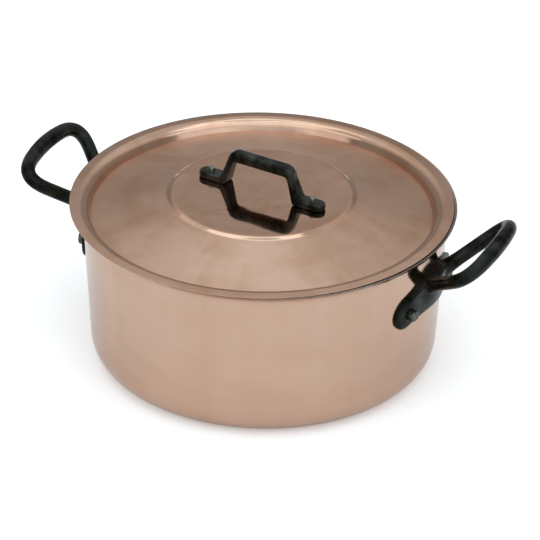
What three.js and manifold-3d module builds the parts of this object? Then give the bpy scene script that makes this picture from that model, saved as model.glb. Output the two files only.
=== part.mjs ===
// A two-handled copper casserole with a recessed, domed lid, cast-iron handles and steel rivets.
// Millimetres, +Z up. The origin is the centre of the base, and the side handles lie along X.
import * as THREE from "three";
import { mergeVertices } from "three/addons/utils/BufferGeometryUtils.js";
import Module from "manifold-3d";

const wasm = await Module();
wasm.setup();

// Pot
const POT_HEIGHT = 110.8; // base to the top of the lip
const RIM_RADIUS = 120; // outside of the wall, just under the lip
const WALL_DRAFT = THREE.MathUtils.degToRad(3.2); // the wall leans out by this much
const CORNER_RADIUS = 17; // outside, between base and wall
const LIP_RADIUS = 10; // outside bend of the flared lip
const LIP_TURN = THREE.MathUtils.degToRad(67);
const POT_COPPER = 1.4;
const POT_LINING = 0.3;

// Lid
const LID_COPPER = 0.8;
const LID_LINING = 0.3;
const LID_PLAY = 3.9; // between the foot of the lid's step and the pot's wall, when centred
const LID_INSET = 0.4; // its edge inside the edge of the lip, when centred
const LID_TURN = THREE.MathUtils.degToRad(-8.4); // the lid as it was put down
const LID_SHIFT_SHARE = 0.847; // how much of its play is taken up
const LID_SHIFT_ANGLE = THREE.MathUtils.degToRad(238.4); // towards this side
const STEP_DEPTH = 9.5; // flange down to the bottom of the groove
const STEP_LEAN = 0.8; // the step narrows by this much downwards
const STEP_FILLET = 5.6; // between flange and step
const GROOVE_FILLET = 0.6; // between step and dome
const DOME_RISE = 13.9; // bottom of the groove up to the foot of the centre disc
const DISC_RADIUS = 59.5; // flat top of the raised centre disc
const DISC_STEP = 1.6;
const DISC_SLOPE = 3;

// Side handles
const PLATE_DROP = 34.3; // top of the lip down to the middle of the base plate
const PLATE_LENGTH = 92; // along the wall
const PLATE_HEIGHT = 19;
const PLATE_THICKNESS = 3; // at its ends
const BOSS_THICKNESS = 7.5; // at the middle of its upper edge
const BOSS_FOOT = 4; // at the middle of its lower edge
const BOSS_CREST = 4; // how much higher the middle of its upper edge is
const BOSS_LENGTH = 54; // the middle stretch where it thickens
const PLATE_EDGE = 1.4; // rounding of the outer edges
const LOOP_TILT = THREE.MathUtils.degToRad(39); // above the horizontal
const LOOP_LENGTH = 57.7; // wall to the middle of the bar, along the slope
const LOOP_WIDTH = 88; // between the corners, rod centre to rod centre
const LOOP_ROOT_WIDTH = 17.6; // between the rods where they leave the wall
const LOOP_ROOT_RISE = 5; // rods above the middle of the plate, at the wall
const LOOP_BOW = 6.8; // how far the bar bulges out between its corners
const LOOP_CORNER = 22.5; // length of each corner's bend along its legs
const ROD_RADIUS = 4.6; // of the legs
const BAR_RADIUS = 5.3; // rod at the middle of the bar
const ROOT_RADIUS = 6.4; // rod swollen where it grows out of the plate
const ROOT_LENGTH = 20; // from the wall to where the swelling ends

// Lid handle
const FOOT_SPAN = 95; // end to end
const FOOT_WIDTH = 10.6;
const FOOT_THICKNESS = 4.5;
const BOW_FOOT_SPAN = 55.2; // between the middles of the legs at the lid
const BOW_TOP_SPAN = 43.4; // between the middles of the legs at the grip
const LEG_THICKNESS = 4.9;
const BOW_HEIGHT = 25.4; // lid to the top of the grip
const GRIP_WIDTH = 8.5;
const GRIP_THICKNESS = 7.1;
const BOW_FILLETS = { top: 7.5, instep: 2, palm: 3, heel: 1.5 }; // outside at grip and foot, inside at both

// Rivets
const SIDE_RIVET = { shank: 2.8, head: 3.8, rise: 3.4, back: 5.2, dome: 1.5, inset: 13.5, drop: 2 };
const LID_RIVET = { shank: 1.5, head: 2, rise: 2.6, back: 3.4, dome: 1.1, inset: 9 };

// Clearances
const BOND_GAP = 0.1; // copper to lining
const SEAT_GAP = 0.3; // between pieces that rest on each other
const HOLE_GAP = 0.3; // round a rivet's shank

// Facets
const ROUND_STEPS = 48; // round the pot and the lid
const RIVET_STEPS = 12;
const RING_POINTS = 8; // round a rod
const FILLET_SAG = 0.25; // how far a facet may cut into a fillet

const copper = new THREE.MeshStandardMaterial({ color: 0xc79a80, roughness: 0.18, metalness: 1 });
const lining = new THREE.MeshStandardMaterial({ color: 0xa9aaa4, roughness: 0.35, metalness: 1 });
const castIron = new THREE.MeshStandardMaterial({ color: 0x2a2c29, roughness: 0.55, metalness: 0.6 });
const steel = new THREE.MeshStandardMaterial({ color: 0x9a9e94, roughness: 0.4, metalness: 1 });

// Solids

function toSolid(geometry) {
  const bare = geometry.clone();
  bare.deleteAttribute("normal");
  bare.deleteAttribute("uv");
  const merged = mergeVertices(bare, 1e-4);
  const corners = merged.index.array;
  const kept = [];
  for (let i = 0; i < corners.length; i += 3) {
    const [a, b, c] = corners.slice(i, i + 3);
    if (a !== b && b !== c && c !== a) kept.push(a, b, c);
  }
  const vertProperties = merged.attributes.position.array;
  return new wasm.Manifold(new wasm.Mesh({ numProp: 3, vertProperties, triVerts: new Uint32Array(kept) }));
}

function toGeometry(solid) {
  const mesh = solid.getMesh();
  const geometry = new THREE.BufferGeometry();
  geometry.setAttribute("position", new THREE.BufferAttribute(mesh.vertProperties, 3));
  geometry.setIndex(new THREE.BufferAttribute(mesh.triVerts, 1));
  geometry.computeVertexNormals();
  return geometry;
}

function cutHoles(geometry, holes) {
  return toGeometry(holes.reduce((solid, hole) => solid.subtract(toSolid(hole)), toSolid(geometry)));
}

// Profiles: a sheet's outside runs through corners {x, z, fillet}, from the axis outwards

function filletedProfile(corners, fixedSteps) {
  const points = [new THREE.Vector2(corners[0].x, corners[0].z)];
  for (let i = 1; i < corners.length - 1; i++) {
    const at = new THREE.Vector2(corners[i].x, corners[i].z);
    const back = new THREE.Vector2(corners[i - 1].x, corners[i - 1].z).sub(at).normalize();
    const ahead = new THREE.Vector2(corners[i + 1].x, corners[i + 1].z).sub(at).normalize();
    const half = Math.acos(THREE.MathUtils.clamp(back.dot(ahead), -1, 1)) / 2;
    const fillet = corners[i].fillet;
    const centre = back.clone().add(ahead).normalize().multiplyScalar(fillet / Math.sin(half)).add(at);
    const start = back.clone().multiplyScalar(fillet / Math.tan(half)).add(at).sub(centre);
    const sweep = Math.sign(back.cross(ahead)) * (2 * half - Math.PI);
    const finest = Math.ceil(Math.abs(sweep) / (2 * Math.acos(1 - Math.min(FILLET_SAG / fillet, 0.3))));
    const steps = fixedSteps ?? finest;
    for (let k = 0; k <= steps; k++) {
      const turned = start.clone().rotateAround(new THREE.Vector2(), (sweep * k) / steps);
      points.push(turned.add(centre));
    }
  }
  const last = corners[corners.length - 1];
  points.push(new THREE.Vector2(last.x, last.z));
  return points.filter((point, i) => i === 0 || point.distanceTo(points[i - 1]) > 1e-3);
}

// The profile moved to its left by a distance, with mitred corners.
function offsetProfile(points, distance) {
  return points.map((point, i) => {
    const before = points[Math.max(i - 1, 0)];
    const after = points[Math.min(i + 1, points.length - 1)];
    const arriving = point.clone().sub(before).normalize();
    const leaving = after.clone().sub(point).normalize();
    const heading = arriving.clone().add(leaving).normalize();
    const stretch = 1 / Math.max(heading.dot(arriving), heading.dot(leaving), 0.5);
    return new THREE.Vector2(-heading.y, heading.x).multiplyScalar(distance * stretch).add(point);
  });
}

// A turned sheet between two depths under its outside profile.
function turnedSheet(profile, outer, inner) {
  const section = [...offsetProfile(profile, outer), ...offsetProfile(profile, inner).reverse()];
  section[0].x = 0;
  section[section.length - 1].x = 0;
  return new THREE.LatheGeometry(section, ROUND_STEPS).rotateX(Math.PI / 2);
}

// A closed skin through rings of points, with a flat cap on each end.
function loft(rings) {
  const count = rings[0].length;
  const positions = rings.flat().flatMap((p) => [p.x, p.y, p.z]);
  const index = [];
  for (let i = 0; i + 1 < rings.length; i++) {
    for (let k = 0; k < count; k++) {
      const a = i * count + k;
      const b = i * count + ((k + 1) % count);
      index.push(a, b, b + count, a, b + count, a + count);
    }
  }
  const last = (rings.length - 1) * count;
  for (let k = 1; k + 1 < count; k++) {
    index.push(0, k + 1, k);
    index.push(last, last + k, last + k + 1);
  }
  const geometry = new THREE.BufferGeometry();
  geometry.setAttribute("position", new THREE.Float32BufferAttribute(positions, 3));
  geometry.setIndex(index);
  return geometry;
}

// Pot

const potWall = POT_COPPER + BOND_GAP + POT_LINING;
const lipEnd = Math.PI - WALL_DRAFT - LIP_TURN; // direction from the bend's centre to the end of the lip
const lipCentreZ = POT_HEIGHT - (LIP_RADIUS + potWall) * Math.sin(Math.max(lipEnd, Math.PI / 2));
const wallTopZ = lipCentreZ + LIP_RADIUS * Math.sin(WALL_DRAFT);
const lipCentreX = RIM_RADIUS + LIP_RADIUS * Math.cos(WALL_DRAFT);
const lipEdgeX = lipCentreX + LIP_RADIUS * Math.cos(lipEnd);
const lipEdgeZ = lipCentreZ + LIP_RADIUS * Math.sin(lipEnd);

// Outside radius of the wall at a height.
function wallRadius(z) {
  return RIM_RADIUS - (wallTopZ - z) * Math.tan(WALL_DRAFT);
}

function potProfile() {
  const bend = LIP_RADIUS * Math.tan(LIP_TURN / 2);
  const lipCornerX = lipEdgeX - bend * Math.sin(lipEnd);
  const lipCornerZ = lipEdgeZ + bend * Math.cos(lipEnd);
  return filletedProfile([
    { x: 0, z: 0 },
    { x: wallRadius(0), z: 0, fillet: CORNER_RADIUS },
    { x: lipCornerX, z: lipCornerZ, fillet: LIP_RADIUS },
    { x: lipEdgeX, z: lipEdgeZ },
  ]);
}

// Rivets: turned about Z, with z = 0 on the outside of the sheet that they hold.
// The gripped thickness lies outside the sheet, and a hollow sheet pushes the back head off by its rise.

function rivet(size, gripped, sheet, hollowRise) {
  const seat = gripped + 2 * SEAT_GAP;
  const back = -sheet - SEAT_GAP - hollowRise;
  const chamfer = 0.3 * size.head;
  const section = [
    new THREE.Vector2(0, back - size.dome),
    new THREE.Vector2(0.55 * size.back, back - 0.8 * size.dome),
    new THREE.Vector2(size.back, back),
    new THREE.Vector2(size.shank, back),
    new THREE.Vector2(size.shank, seat),
    new THREE.Vector2(size.head, seat),
    new THREE.Vector2(size.head, seat + size.rise - chamfer),
    new THREE.Vector2(size.head - chamfer, seat + size.rise),
    new THREE.Vector2(0, seat + size.rise),
  ];
  return new THREE.LatheGeometry(section, RIVET_STEPS).rotateX(Math.PI / 2);
}

function rivetHole(size, reach) {
  const radius = size.shank + HOLE_GAP;
  return new THREE.CylinderGeometry(radius, radius, 2 * reach, RIVET_STEPS).rotateX(Math.PI / 2);
}

// Side handles, modelled on the +X side

const plateZ = POT_HEIGHT - PLATE_DROP;
const plateRadius = wallRadius(plateZ);
const facetSag = RIM_RADIUS * (1 - Math.cos(Math.PI / ROUND_STEPS)); // a flat facet inside its circle
const rivetAngle = (PLATE_LENGTH / 2 - SIDE_RIVET.inset) / plateRadius;

// The plate follows the loop's tilted plane round the wall, so its ends hang lower than its middle.
function plateLevel(angle) {
  return plateZ - Math.tan(LOOP_TILT) * plateRadius * (1 - Math.cos(angle));
}

// How far the plate has swollen into its boss: 1 at the middle, 0 at the boss's ends.
function bossShare(along) {
  const share = Math.min(Math.abs(along) / (BOSS_LENGTH / 2), 1);
  return (1 + Math.cos(Math.PI * share)) / 2;
}

function plateThickness(along, swollen) {
  return THREE.MathUtils.lerp(PLATE_THICKNESS, swollen, bossShare(along));
}

// Points of the plate's section at a distance along the wall, from the wall's inside to the outer face.
function plateRing(along, halfHeight) {
  const angle = along / plateRadius;
  const edge = Math.min(PLATE_EDGE, 0.8 * halfHeight);
  const soft = 0.3 * edge;
  const face = SEAT_GAP + plateThickness(along, BOSS_THICKNESS);
  const foot = SEAT_GAP + plateThickness(along, BOSS_FOOT);
  const crest = halfHeight + BOSS_CREST * bossShare(along);
  const outline = [
    [-halfHeight, -potWall],
    [crest, -potWall],
    [crest, face - edge],
    [crest - soft, face - soft],
    [crest - edge, face],
    [-halfHeight + edge, foot],
    [-halfHeight + soft, foot - soft],
    [-halfHeight, foot - edge],
  ];
  return outline.map(([up, out]) => {
    const z = plateLevel(angle) + up;
    const radius = wallRadius(z) + out;
    return new THREE.Vector3(radius * Math.cos(angle), radius * Math.sin(angle), z);
  });
}

function plateSkin() {
  const round = PLATE_HEIGHT / 2; // the ends are half circles
  const straight = PLATE_LENGTH / 2 - round;
  const endSteps = 4;
  const straightSteps = 10;
  const rings = [];
  for (let k = 0; k < endSteps; k++) {
    const turn = (Math.PI / 2) * (0.93 - (0.93 * k) / endSteps);
    rings.push(plateRing(-straight - round * Math.sin(turn), round * Math.cos(turn)));
  }
  for (let k = 0; k <= straightSteps; k++) {
    rings.push(plateRing(straight * ((2 * k) / straightSteps - 1), round));
  }
  for (let k = 1; k <= endSteps; k++) {
    const turn = ((Math.PI / 2) * 0.93 * k) / endSteps;
    rings.push(plateRing(straight + round * Math.sin(turn), round * Math.cos(turn)));
  }
  return loft(rings);
}

// The rod's centre line, in the loop's own plane: x outwards from the wall, y along the bar.
function loopPath() {
  const corner = new THREE.Vector2(LOOP_LENGTH - LOOP_BOW, LOOP_WIDTH / 2);
  const root = new THREE.Vector2(0, LOOP_ROOT_WIDTH / 2);
  const crown = new THREE.Vector2(LOOP_LENGTH, 0);
  const towards = (from, to) => to.clone().sub(from).setLength(LOOP_CORNER).add(from);
  const legEnd = towards(corner, root);
  const barEnd = towards(corner, crown);
  const mirrored = (p) => new THREE.Vector2(p.x, -p.y);
  const path = new THREE.Path();
  path.moveTo(root.x, -root.y);
  path.lineTo(legEnd.x, -legEnd.y);
  path.quadraticCurveTo(corner.x, -corner.y, mirrored(barEnd).x, mirrored(barEnd).y);
  path.quadraticCurveTo(crown.x, crown.y, barEnd.x, barEnd.y);
  path.quadraticCurveTo(corner.x, corner.y, legEnd.x, legEnd.y);
  path.lineTo(root.x, root.y);
  return path;
}

function loopSkin() {
  const path = loopPath();
  const length = path.getLength();
  const steps = 32;
  const outwards = new THREE.Vector3(Math.cos(LOOP_TILT), 0, Math.sin(LOOP_TILT));
  const sideways = new THREE.Vector3(0, 1, 0);
  const upwards = new THREE.Vector3().crossVectors(outwards, sideways);
  const start = new THREE.Vector3(wallRadius(plateZ + LOOP_ROOT_RISE), 0, plateZ + LOOP_ROOT_RISE);
  const place = (p) => start.clone().addScaledVector(outwards, p.x).addScaledVector(sideways, p.y);
  const rings = [];
  for (let k = 0; k <= steps; k++) {
    const share = k / steps;
    const fromRoot = Math.min(share, 1 - share) * length;
    const swell = Math.max(1 - fromRoot / ROOT_LENGTH, 0) ** 2;
    const bar = THREE.MathUtils.smoothstep(fromRoot, 2 * ROOT_LENGTH, length / 2);
    const radius = ROD_RADIUS + (ROOT_RADIUS - ROD_RADIUS) * swell + (BAR_RADIUS - ROD_RADIUS) * bar;
    const tangent = path.getTangentAt(share);
    const across = outwards.clone().multiplyScalar(-tangent.y).addScaledVector(sideways, tangent.x);
    const ring = [];
    for (let i = 0; i < RING_POINTS; i++) {
      const turn = (2 * Math.PI * i) / RING_POINTS;
      const point = place(path.getPointAt(share)).addScaledVector(across, radius * Math.cos(turn));
      ring.push(point.addScaledVector(upwards, radius * Math.sin(turn)));
    }
    rings.push(ring);
  }
  return loft(rings);
}

// A cone that stands just outside the wall, to fit the handle to it.
function wallCutter() {
  const low = CORNER_RADIUS;
  const top = wallRadius(wallTopZ) + SEAT_GAP;
  const foot = wallRadius(low) + SEAT_GAP;
  const cone = new THREE.CylinderGeometry(top, foot, wallTopZ - low, ROUND_STEPS);
  return cone.rotateX(Math.PI / 2).translate(0, 0, (wallTopZ + low) / 2);
}

// A geometry on the Z axis, laid along the wall's outward direction at a rivet.
function toRivet(geometry, side) {
  const angle = side * rivetAngle;
  const z = plateLevel(angle) - SIDE_RIVET.drop;
  geometry.rotateY(Math.PI / 2 + WALL_DRAFT);
  geometry.translate(wallRadius(z), 0, z);
  return geometry.rotateZ(angle);
}

function sideHandleGeometry() {
  const casting = toSolid(plateSkin()).add(toSolid(loopSkin()));
  const fitted = casting.subtract(toSolid(wallCutter()));
  const holes = [-1, 1].map((side) => toRivet(rivetHole(SIDE_RIVET, BOSS_THICKNESS + potWall), side));
  return cutHoles(toGeometry(fitted), holes);
}

// Lid: z = 0 on top of its flange

const lidWall = LID_COPPER + BOND_GAP + LID_LINING;
const lidZ = POT_HEIGHT + SEAT_GAP + lidWall;
const stepFootZ = lidZ - STEP_DEPTH;
const potInside = wallRadius(stepFootZ - lidWall) - potWall / Math.cos(WALL_DRAFT);
const stepFootX = potInside - LID_PLAY - lidWall;
const stepTopX = stepFootX + STEP_LEAN;
const domeTopX = DISC_RADIUS + DISC_SLOPE;
const domeTopZ = DOME_RISE - STEP_DEPTH;
const discZ = domeTopZ + DISC_STEP;
const lidShift = LID_PLAY * LID_SHIFT_SHARE;

function lidProfile() {
  return filletedProfile([
    { x: lipEdgeX - LID_INSET, z: 0 },
    { x: stepTopX, z: 0, fillet: STEP_FILLET },
    { x: stepFootX, z: -STEP_DEPTH, fillet: GROOVE_FILLET },
    { x: domeTopX, z: domeTopZ, fillet: DISC_SLOPE },
    { x: DISC_RADIUS, z: discZ, fillet: DISC_SLOPE },
    { x: 0, z: discZ },
  ]).reverse();
}

// Lid handle, along X with z = 0 on the centre disc

const lidRivetX = FOOT_SPAN / 2 - LID_RIVET.inset;

// One side of the bow, from end to end: outwards is 1 for its outside and -1 for the side of the fingers.
function bowLine(footZ, gripZ, outwards, footFillet, gripFillet) {
  const footMiddle = SEAT_GAP + FOOT_THICKNESS / 2;
  const rise = BOW_HEIGHT - GRIP_THICKNESS / 2 - footMiddle;
  const narrowing = (BOW_FOOT_SPAN - BOW_TOP_SPAN) / 2;
  const aside = (outwards * LEG_THICKNESS * Math.hypot(rise, narrowing)) / (2 * rise);
  const legX = (z) => BOW_FOOT_SPAN / 2 - (narrowing * (z - footMiddle)) / rise + aside;
  const corners = [
    { x: -FOOT_SPAN / 2, z: footZ },
    { x: -legX(footZ), z: footZ, fillet: footFillet },
    { x: -legX(gripZ), z: gripZ, fillet: gripFillet },
    { x: legX(gripZ), z: gripZ, fillet: gripFillet },
    { x: legX(footZ), z: footZ, fillet: footFillet },
    { x: FOOT_SPAN / 2, z: footZ },
  ];
  return filletedProfile(corners, 4);
}

// The bow's section between two facing points of its sides: square at the foot, oval at the grip.
function bowRing(inside, outside, halfWidth, squareness) {
  const ringPoints = 10;
  const middle = inside.clone().add(outside).multiplyScalar(0.5);
  const half = outside.clone().sub(middle);
  return Array.from({ length: ringPoints }, (_, i) => {
    const turn = (2 * Math.PI * (i + 0.5)) / ringPoints;
    const side = Math.sign(Math.cos(turn)) * Math.abs(Math.cos(turn)) ** (2 / squareness);
    const up = Math.sign(Math.sin(turn)) * Math.abs(Math.sin(turn)) ** (2 / squareness);
    return new THREE.Vector3(middle.x + half.x * up, halfWidth * side, middle.y + half.y * up);
  });
}

function bowSkin() {
  const footTop = SEAT_GAP + FOOT_THICKNESS;
  const inside = bowLine(SEAT_GAP, BOW_HEIGHT - GRIP_THICKNESS, -1, BOW_FILLETS.heel, BOW_FILLETS.palm);
  const outside = bowLine(footTop, BOW_HEIGHT, 1, BOW_FILLETS.instep, BOW_FILLETS.top);
  const round = FOOT_WIDTH / 2; // each foot ends in a half circle
  const endSteps = 4;
  const footEnd = (side) => Array.from({ length: endSteps + 1 }, (_, k) => {
    const turn = (Math.PI / 2) * 0.94 * (1 - k / endSteps);
    const x = side * (FOOT_SPAN / 2 - round + round * Math.sin(turn));
    const level = (z) => new THREE.Vector2(x, z);
    return bowRing(level(SEAT_GAP), level(footTop), round * Math.cos(turn), 5);
  });
  const rings = inside.slice(1, -1).map((point, i) => {
    const grip = THREE.MathUtils.smoothstep(outside[i + 1].y, footTop, BOW_HEIGHT - GRIP_THICKNESS);
    const halfWidth = THREE.MathUtils.lerp(FOOT_WIDTH, GRIP_WIDTH, grip) / 2;
    return bowRing(point, outside[i + 1], halfWidth, THREE.MathUtils.lerp(5, 2.8, grip));
  });
  return loft([...footEnd(-1), ...rings, ...footEnd(1).reverse()]);
}

// Assembly

function piece(name, geometry, material) {
  const mesh = new THREE.Mesh(geometry, material);
  mesh.name = name;
  return mesh;
}

const casserole = new THREE.Group();

const potOutside = potProfile();
const wallHoles = [0, Math.PI].flatMap((turn) =>
  [-1, 1].map((side) => toRivet(rivetHole(SIDE_RIVET, BOSS_THICKNESS + potWall), side).rotateZ(turn)),
);
const potCopper = turnedSheet(potOutside, 0, POT_COPPER);
const potInner = turnedSheet(potOutside, POT_COPPER + BOND_GAP, potWall);
casserole.add(piece("pot_shell", cutHoles(potCopper, wallHoles), copper));
casserole.add(piece("pot_lining", cutHoles(potInner, wallHoles), lining));

[["right", 0], ["left", Math.PI]].forEach(([sideName, turn]) => {
  const handle = new THREE.Group();
  handle.rotation.z = turn;
  handle.add(piece(`side_handle_${sideName}`, sideHandleGeometry(), castIron));
  const ends = turn === 0 ? ["front", "rear"] : ["rear", "front"];
  ends.forEach((end, i) => {
    const gripped = plateThickness(plateRadius * rivetAngle, BOSS_FOOT);
    const hollowRise = SIDE_RIVET.back ** 2 / (2 * plateRadius) + facetSag;
    const geometry = toRivet(rivet(SIDE_RIVET, gripped, potWall, hollowRise), 2 * i - 1);
    handle.add(piece(`side_rivet_${sideName}_${end}`, geometry, steel));
  });
  casserole.add(handle);
});

const lid = new THREE.Group();
lid.position.set(lidShift * Math.cos(LID_SHIFT_ANGLE), lidShift * Math.sin(LID_SHIFT_ANGLE), lidZ);
lid.rotation.z = LID_TURN;
const lidOutside = lidProfile();
const lidHoles = [-1, 1].map((side) =>
  rivetHole(LID_RIVET, STEP_DEPTH).translate(side * lidRivetX, 0, discZ),
);
lid.add(piece("lid_shell", cutHoles(turnedSheet(lidOutside, -LID_COPPER, 0), lidHoles), copper));
const lidUnder = turnedSheet(lidOutside, -lidWall, -LID_COPPER - BOND_GAP);
lid.add(piece("lid_lining", cutHoles(lidUnder, lidHoles), lining));

const lidTop = new THREE.Group();
lidTop.position.z = discZ;
const bowHoles = [-1, 1].map((side) => rivetHole(LID_RIVET, BOW_HEIGHT).translate(side * lidRivetX, 0, 0));
lidTop.add(piece("lid_handle", cutHoles(bowSkin(), bowHoles), castIron));
["left", "right"].forEach((sideName, i) => {
  const geometry = rivet(LID_RIVET, FOOT_THICKNESS, lidWall, 0).translate((2 * i - 1) * lidRivetX, 0, 0);
  lidTop.add(piece(`lid_rivet_${sideName}`, geometry, steel));
});
lid.add(lidTop);
casserole.add(lid);

export default casserole;
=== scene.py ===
import math

import bmesh
import bpy
from mathutils import Matrix, Vector


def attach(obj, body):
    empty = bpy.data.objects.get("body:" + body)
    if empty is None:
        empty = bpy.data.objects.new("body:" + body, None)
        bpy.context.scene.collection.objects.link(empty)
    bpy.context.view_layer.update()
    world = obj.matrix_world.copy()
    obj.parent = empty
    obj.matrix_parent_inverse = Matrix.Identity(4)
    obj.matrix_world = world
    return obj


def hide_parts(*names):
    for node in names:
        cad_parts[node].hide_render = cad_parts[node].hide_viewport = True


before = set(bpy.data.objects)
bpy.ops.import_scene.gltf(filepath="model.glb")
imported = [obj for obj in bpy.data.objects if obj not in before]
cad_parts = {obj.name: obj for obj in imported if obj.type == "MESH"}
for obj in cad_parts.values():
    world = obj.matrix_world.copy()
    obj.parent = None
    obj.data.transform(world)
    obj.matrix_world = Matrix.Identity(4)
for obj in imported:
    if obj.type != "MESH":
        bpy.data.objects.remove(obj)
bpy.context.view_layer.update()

bl_info = {
    "name": "Copper Casserole",
    "version": (1, 0, 0),
    "blender": (4, 5, 0),
    "location": "3D View > Sidebar > Casserole",
    "description": "Builds a two-handled copper casserole with a recessed, domed lid",
    "category": "Add Mesh",
}

MM = 0.001
BOND_GAP = 0.1 * MM  # copper to lining
SEAT_GAP = 0.3 * MM  # between pieces that rest on each other
SAME_POINT = 0.001 * MM  # points of a profile that are closer than this are one
TURN_STEPS = 256  # round a turned sheet
RIVET_STEPS = 48  # round a rivet
ROD_SIDES = 40  # round a cast rod
ARC_STEP = math.radians(5)  # largest turn between two points of a rounded corner
SHARP_FOLD = math.radians(50)  # a turned edge that folds by more than this stays crisp
PLATE_SUNK = 1.0 * MM  # a side plate's back lies this deep in the copper, so that no light shows behind it
HEAD_SUNK = 0.2 * MM  # a rivet's head lies this deep in the casting that it holds


# Properties

def linear(hex_colour):
    """Linear red, green and blue of an sRGB colour written as #RRGGBB."""
    parts = [int(hex_colour[i:i + 2], 16) / 255 for i in (1, 3, 5)]
    return tuple(p / 12.92 if p <= 0.04045 else ((p + 0.055) / 1.055) ** 2.4 for p in parts)


def length(label, millimetres, words):
    return bpy.props.FloatProperty(
        name=label, description=words, default=millimetres * MM, min=0.0, unit="LENGTH", precision=5)


def angle(label, degrees, words):
    return bpy.props.FloatProperty(name=label, description=words, default=math.radians(degrees), subtype="ANGLE")


def colour(label, hex_colour, words):
    return bpy.props.FloatVectorProperty(
        name=label, description=words, default=linear(hex_colour), min=0.0, max=1.0, subtype="COLOR")


class PotSizes(bpy.types.PropertyGroup):
    """Sizes of the copper pot and of its lining"""
    height: length("Height", 110.8, "Base to the top of the lip")
    rim: length("Rim radius", 120, "Outside of the wall, just under the lip")
    draft: angle("Wall draft", 3.2, "How far the wall leans out")
    corner: length("Base corner", 17, "Outside radius between base and wall")
    lip_edge: length("Lip edge", 0.45, "Thickness of the copper at the edge of the lip, which is filed thin")
    lip_tuck: length("Lip tuck", 0.5, "How far the lip's edge slopes inwards from its top to its bottom")
    lip: length("Lip bend", 10, "Outside radius of the flared lip")
    lip_turn: angle("Lip turn", 67, "How far the lip is turned out")
    copper: length("Copper", 1.4, "Thickness of the copper")
    lining: length("Lining", 0.3, "Thickness of the lining")
    lining_inset: length("Lining inset", 0.6, "How far the lining ends inside the lip's edge")


class LidSizes(bpy.types.PropertyGroup):
    """Sizes of the copper lid, and how it was put down"""
    copper: length("Copper", 0.8, "Thickness of the copper")
    lining: length("Lining", 0.3, "Thickness of the lining")
    lining_inset: length("Lining inset", 4, "How far the lining ends inside the lid's edge")
    play: length("Play", 4.8, "Between the lid's step and the pot's wall, when centred")
    shift: length("Shift", 2.511, "How far off centre the lid lies")
    shift_angle: angle("Shift direction", 215.9, "Side that the lid is pushed to")
    inset: length("Inset", 0.2, "Edge of the lid inside the edge of the lip, when centred")
    droop: length("Droop", 0.6, "Edge of the flange below its inner side")
    tuck: length("Tuck", 0.7, "How far the edge slopes inwards from its top to its bottom")
    turn: angle("Turn", -7.4, "How far the lid is turned on the pot")
    step_depth: length("Step depth", 7.65, "Flange down to the bottom of the groove")
    step_lean: length("Step lean", 3.4, "How much the step narrows downwards")
    step_fillet: length("Step fillet", 7.2, "Radius between flange and step")
    dome_rise: length("Dome rise", 12.05, "Groove up to the centre disc")
    disc: length("Disc radius", 59.5, "Flat top of the raised centre disc")
    disc_step: length("Disc step", 1.6, "Height of the disc over the dome")
    disc_slope: length("Disc slope", 3, "Width of the slope round the disc")


class SideHandleSizes(bpy.types.PropertyGroup):
    """Sizes of the cast loop handles"""
    drop: length("Plate drop", 34.3, "Top of the lip down to the middle of the plate")
    plate_length: length("Plate length", 88.4, "Base plate along the wall")
    plate_height: length("Plate height", 20.6, "Base plate across")
    plate: length("Plate thickness", 3, "Base plate at its ends")
    boss: length("Boss thickness", 7.5, "Base plate at the middle of its upper edge")
    boss_foot: length("Boss foot", 5, "Base plate at the middle of its lower edge")
    crest: length("Boss crest", 4, "How much higher the middle of the upper edge is")
    crest_length: length("Crest length", 80, "Stretch where the upper edge rises")
    boss_length: length("Boss length", 54, "Stretch where the plate thickens")
    edge: length("Plate edge", 1.9, "Rounding of the plate's outer edges")
    back_edge: length("Back edge", 0.2, "Rounding of the plate's edges at the wall")
    tilt: angle("Loop tilt", 39, "Loop above the horizontal")
    reach: length("Loop length", 57.7, "Wall to the middle of the bar, along the slope")
    width: length("Loop width", 88, "Between the corners of the rod's centre line")
    root_width: length("Root width", 17.6, "Between the rods where they leave the wall")
    root_rise: length("Root rise", 5, "Rods above the middle of the plate")
    bow: length("Bow", 6.8, "How far the bar bulges between its corners")
    bend: length("Corner bend", 22.5, "Length of each corner's bend along its legs")
    rod: length("Rod radius", 4.6, "Radius of the legs")
    bar: length("Bar radius", 5.3, "Radius at the middle of the bar")
    root: length("Root radius", 6.4, "Rod where it grows out of the plate")
    root_length: length("Root length", 20, "From the wall to the end of the swelling")


class LidHandleSizes(bpy.types.PropertyGroup):
    """Sizes of the cast bow on the lid"""
    span: length("Foot span", 95, "End to end")
    foot_width: length("Foot width", 10.6, "Width of a foot")
    foot: length("Foot thickness", 4.5, "Thickness of a foot")
    leg_span: length("Leg span", 55.2, "Between the middles of the legs at the lid")
    top_span: length("Top span", 43.4, "Between the middles of the legs at the grip")
    leg: length("Leg thickness", 4.9, "Thickness of a leg")
    height: length("Height", 25.38, "Lid to the top of the grip")
    grip_width: length("Grip width", 8.5, "Grip across")
    grip: length("Grip thickness", 7.1, "Grip from below to the top")
    top_fillet: length("Top bend", 7.5, "Outside radius at the grip's ends")
    instep_fillet: length("Instep", 2, "Outside radius over the feet")
    palm_fillet: length("Palm bend", 3, "Inside radius at the grip's ends")
    heel_fillet: length("Heel", 1.5, "Inside radius at the feet")
    foot_edge: length("Foot edge", 1.6, "Rounding of the feet's upper edges")
    grip_edge: length("Grip edge", 2.8, "Rounding of the grip's upper edges")
    under_edge: length("Under edge", 0.7, "Rounding of the edges below")


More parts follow.
